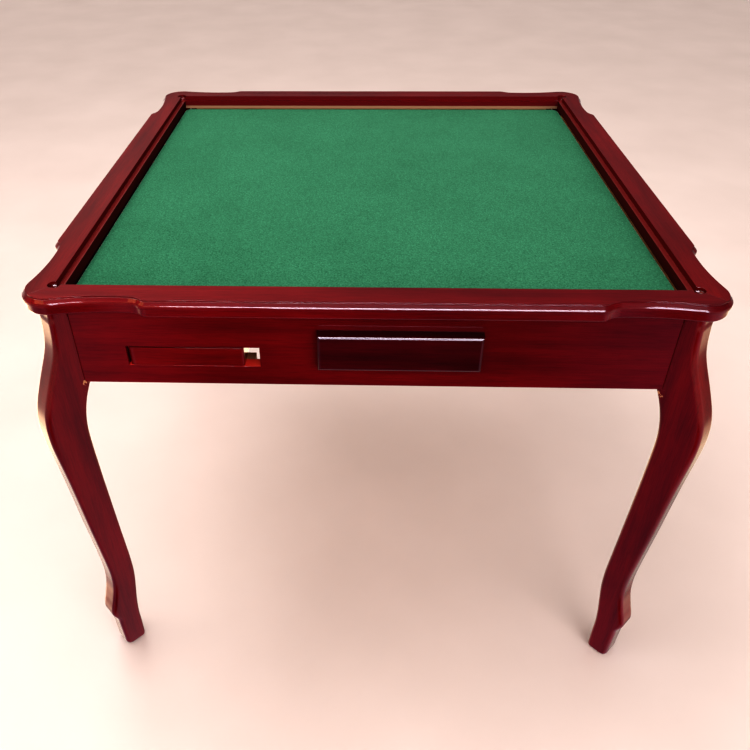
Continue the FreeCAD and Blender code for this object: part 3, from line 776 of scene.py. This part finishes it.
def soft_box(name, place, aim, width, height, watts, colour, diffuse=True, glossy=True):
    light = bpy.data.lights.new(name, "AREA")
    light.shape = "RECTANGLE"
    light.size = width
    light.size_y = height
    light.energy = watts
    light.color = colour
    lamp = bpy.data.objects.new(name, light)
    bpy.context.scene.collection.objects.link(lamp)
    lamp.visible_camera = False
    lamp.visible_diffuse = diffuse
    lamp.visible_glossy = glossy
    lamp.location = place
    lamp.rotation_euler = (Vector(aim) - Vector(place)).to_track_quat("-Z", "Y").to_euler()


make_floor()
soft_box("ceiling_box", place=(-0.9, 0.3, 2.9), aim=(0, 0, 0.5), width=2.4, height=2.0,
         watts=45, colour=(1.0, 0.97, 0.93))
soft_box("front_fill", place=(1.8, -3.3, 1.8), aim=(0, 0, 0.5), width=2.6, height=1.6,
         watts=52, colour=(1.0, 0.95, 0.92), glossy=False)
soft_box("low_window", place=(0.45, -3.5, 1.55), aim=(0, 0, 0.7), width=2.0, height=1.1,
         watts=140, colour=(0.84, 0.82, 1.0), diffuse=False)
soft_box("high_window", place=(0.10, -2.0, 2.5), aim=(0, -0.45, 0.7), width=2.0, height=0.5,
         watts=115, colour=(0.95, 0.90, 1.0), diffuse=False)
soft_box("warm_strip", place=(-1.7, -1.4, 2.4), aim=(-0.3, -0.45, 0.75), width=2.8, height=0.6,
         watts=15, colour=(1.0, 0.50, 0.24), diffuse=False)


# ---------------------------------------------------------------------------------------------
# The surround: even pale light on everything, and in the gloss a room with a pale floor, pale
# walls, a dim ceiling and somebody dark standing in front of the table.
AMBIENT = (0.78, 0.74, 0.70, 1)
PALE_FLOOR = (0.86, 0.70, 0.60, 1)
SUNLIT_FLOOR = (2.6, 1.9, 1.3, 1)
PALE_WALL = (0.66, 0.58, 0.54, 1)
DIM_CEILING = (0.13, 0.12, 0.12, 1)
LIT_CEILING = (0.35, 0.32, 0.30, 1)
DARK_CORNICE = (0.10, 0.09, 0.09, 1)
SHADED_FLOOR = (0.30, 0.25, 0.36, 1)
FLOOR_IN_FRONT = (0.50, 0.40, 0.50, 1)
FLOOR_AT_RIGHT = (0.30, 0.27, 0.40, 1)
BRIGHT_FLOOR = (0.66, 0.52, 0.60, 1)
SOMEBODY = (0.03, 0.03, 0.04, 1)
DIMMED = (0.50, 0.56, 0.60, 1)
DIMMED_MOST = (0.28, 0.28, 0.28, 1)
BLACK = (0, 0, 0, 1)

world = bpy.data.worlds.new("surround")
bpy.context.scene.world = world
world.use_nodes = True
sky, joins = world.node_tree.nodes, world.node_tree.links
direction = sky.new("ShaderNodeTexCoord")
compass = sky.new("ShaderNodeSeparateXYZ")
joins.new(direction.outputs["Generated"], compass.inputs["Vector"])


def along_sky(axis, stops):
    """Colours along one axis of the direction, at places from -1 to 1."""
    reach = sky.new("ShaderNodeMapRange")
    reach.inputs["From Min"].default_value = -1.0
    joins.new(compass.outputs[axis], reach.inputs["Value"])
    return ramp(sky, joins, reach.outputs["Result"],
                [((place + 1) / 2, colour) for place, colour in stops])


low_front = along_sky("X", [(-1, SHADED_FLOOR), (-0.62, SHADED_FLOOR), (-0.42, FLOOR_IN_FRONT),
                            (-0.2, SOMEBODY), (0.2, SOMEBODY), (0.42, FLOOR_AT_RIGHT),
                            (0.62, BRIGHT_FLOOR), (1, BRIGHT_FLOOR)])
before_feet = along_sky("X", [(-1, SHADED_FLOOR), (-0.2, SHADED_FLOOR),
                              (0.2, BRIGHT_FLOOR), (1, BRIGHT_FLOOR)])
high_front = along_sky("Z", [(-1, PALE_WALL), (0.1, PALE_WALL), (0.2, DIM_CEILING), (1, DIM_CEILING)])
is_low = along_sky("Z", [(-1, WHITE), (-0.42, WHITE), (-0.28, BLACK), (1, BLACK)])
is_at_feet = along_sky("Z", [(-1, WHITE), (-0.72, WHITE), (-0.62, BLACK), (1, BLACK)])
floor_in_front = mixed(sky, joins, low_front, before_feet, is_at_feet)
front = mixed(sky, joins, high_front, floor_in_front, is_low)
behind = along_sky("Z", [(-1, PALE_FLOOR), (-0.68, PALE_FLOOR), (-0.61, SUNLIT_FLOOR),
                         (-0.48, SUNLIT_FLOOR), (-0.38, PALE_FLOOR), (-0.1, PALE_WALL),
                         (0.1, PALE_WALL), (0.22, DARK_CORNICE), (0.38, LIT_CEILING),
                         (0.54, LIT_CEILING), (0.75, DIM_CEILING), (1, DIM_CEILING)])
left_to_right = along_sky("X", [(-1, WHITE), (-0.3, WHITE), (0.3, DIMMED), (1, DIMMED_MOST)])
behind = mixed(sky, joins, behind, left_to_right, kind="MULTIPLY")
is_behind = along_sky("Y", [(-1, BLACK), (-0.15, BLACK), (0.2, WHITE), (1, WHITE)])
in_gloss = mixed(sky, joins, front, behind, is_behind)
path = sky.new("ShaderNodeLightPath")
surround = mixed(sky, joins, AMBIENT, in_gloss, path.outputs["Is Glossy Ray"])
joins.new(surround, sky["Background"].inputs["Color"])
sky["Background"].inputs["Strength"].default_value = 1.0
bpy.context.scene.view_settings.view_transform = "Standard"
bpy.context.scene.view_settings.look = "Very High Contrast"


# ---------------------------------------------------------------------------------------------
# Camera: standing in front of the table, looking down on it. The frame is square, and its middle
# lies a little to the right of the lens axis.
CAMERA_PLACE = (-0.0143, -1.2647, 1.2367)
PITCH_DOWN = math.radians(36.748)
YAW = math.radians(-2.216)
ROLL = math.radians(-0.584)
FOCAL_PIXELS = 739.3
PRINCIPAL_X = 337.3
FRAME_PIXELS = 750.0
SENSOR = 36.0


def make_camera():
    data = bpy.data.cameras.new("camera")
    data.sensor_width = SENSOR
    data.lens = FOCAL_PIXELS / FRAME_PIXELS * SENSOR
    data.shift_x = (FRAME_PIXELS / 2 - PRINCIPAL_X) / FRAME_PIXELS
    forward = Vector((math.sin(YAW) * math.cos(PITCH_DOWN), math.cos(YAW) * math.cos(PITCH_DOWN),
                      -math.sin(PITCH_DOWN)))
    level = Vector((math.cos(YAW), -math.sin(YAW), 0))
    upright = level.cross(forward)
    right = math.cos(ROLL) * level + math.sin(ROLL) * upright
    up = -math.sin(ROLL) * level + math.cos(ROLL) * upright
    turned = Matrix((right, up, -forward)).transposed().to_4x4()
    camera = bpy.data.objects.new("camera", data)
    bpy.context.scene.collection.objects.link(camera)
    camera.matrix_world = Matrix.Translation(CAMERA_PLACE) @ turned
    bpy.context.scene.camera = camera


make_camera()
